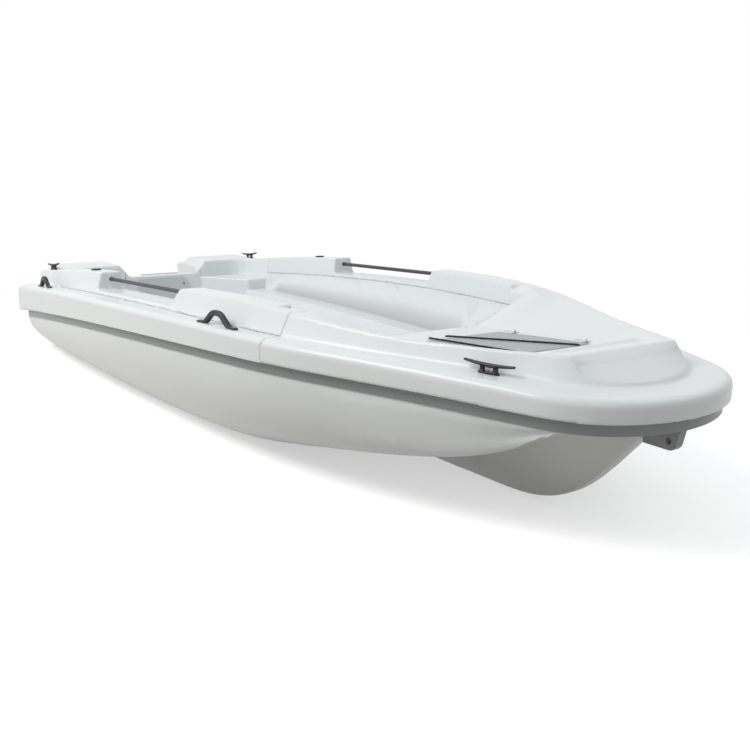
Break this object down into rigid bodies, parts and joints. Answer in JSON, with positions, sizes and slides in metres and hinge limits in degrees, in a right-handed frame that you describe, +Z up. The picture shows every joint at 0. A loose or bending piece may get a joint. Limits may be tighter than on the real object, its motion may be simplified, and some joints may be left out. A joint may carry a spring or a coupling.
{
  "type": "rowing boat",
  "caption": "Open moulded rowing boat with a three-keel bottom, side benches, foredeck hatch, handrails, cleats and a motor cut-out in the stern.",
  "frame": {"origin": "under the middle of the boat's length, on its centreline, on the plane that its keel and side runners stand on", "axes": "+X towards the bow, +Y to port, +Z up"},
  "size_m": [3.83, 1.568, 0.5686],
  "materials": {
    "white_gelcoat": "gloss",
    "grey_gelcoat": "gloss",
    "grey_panel": "satin",
    "white_fitting": "satin",
    "dark_rail": "satin",
    "black_fitting": "satin",
    "black_elastic": "matte"
  },
  "bodies": {
    "boat": {"bow_cleat_port": "black_fitting", "bow_cleat_starboard": "black_fitting", "breakwater": "white_gelcoat", "coaming_port": "white_gelcoat", "coaming_starboard": "white_gelcoat", "cockpit_liner": "white_gelcoat", "drain_bung": "black_fitting", "foredeck": "white_gelcoat", "grab_handle_aft_port": "black_fitting", "grab_handle_aft_starboard": "black_fitting", "grab_handle_mid_port": "black_fitting", "grab_handle_mid_starboard": "black_fitting", "handrail_port": "dark_rail", "handrail_starboard": "dark_rail", "hinge_base_aft": "white_fitting", "hinge_base_fore": "white_fitting", "hull_shell": "white_gelcoat", "motor_pad_inner": "grey_panel", "motor_pad_outer": "grey_panel", "rowlock_socket_port": "black_fitting", "rowlock_socket_starboard": "black_fitting", "rub_band_port": "grey_gelcoat", "rub_band_starboard": "grey_gelcoat", "side_deck_port": "white_gelcoat", "side_deck_starboard": "white_gelcoat", "stern_cleat_port": "black_fitting", "stern_cleat_starboard": "black_fitting", "stern_quarter_port": "white_gelcoat", "stern_quarter_starboard": "white_gelcoat", "towing_eye": "white_gelcoat", "transom": "white_gelcoat"},
    "hatch": {"hatch_lid": "grey_panel", "hinge_leaf_aft": "white_fitting", "hinge_leaf_fore": "white_fitting", "hatch_cord_port": "black_elastic", "hatch_cord_starboard": "black_elastic"}
  },
  "joints": [
    {"name": "hatch_hinge", "type": "hinge", "parent": "boat", "child": "hatch", "pos_m": [0.94957, 0.1745, 0.46748], "axis": [-0.9969, 0, -0.0785], "range_deg": [0, 110]}
  ]
}
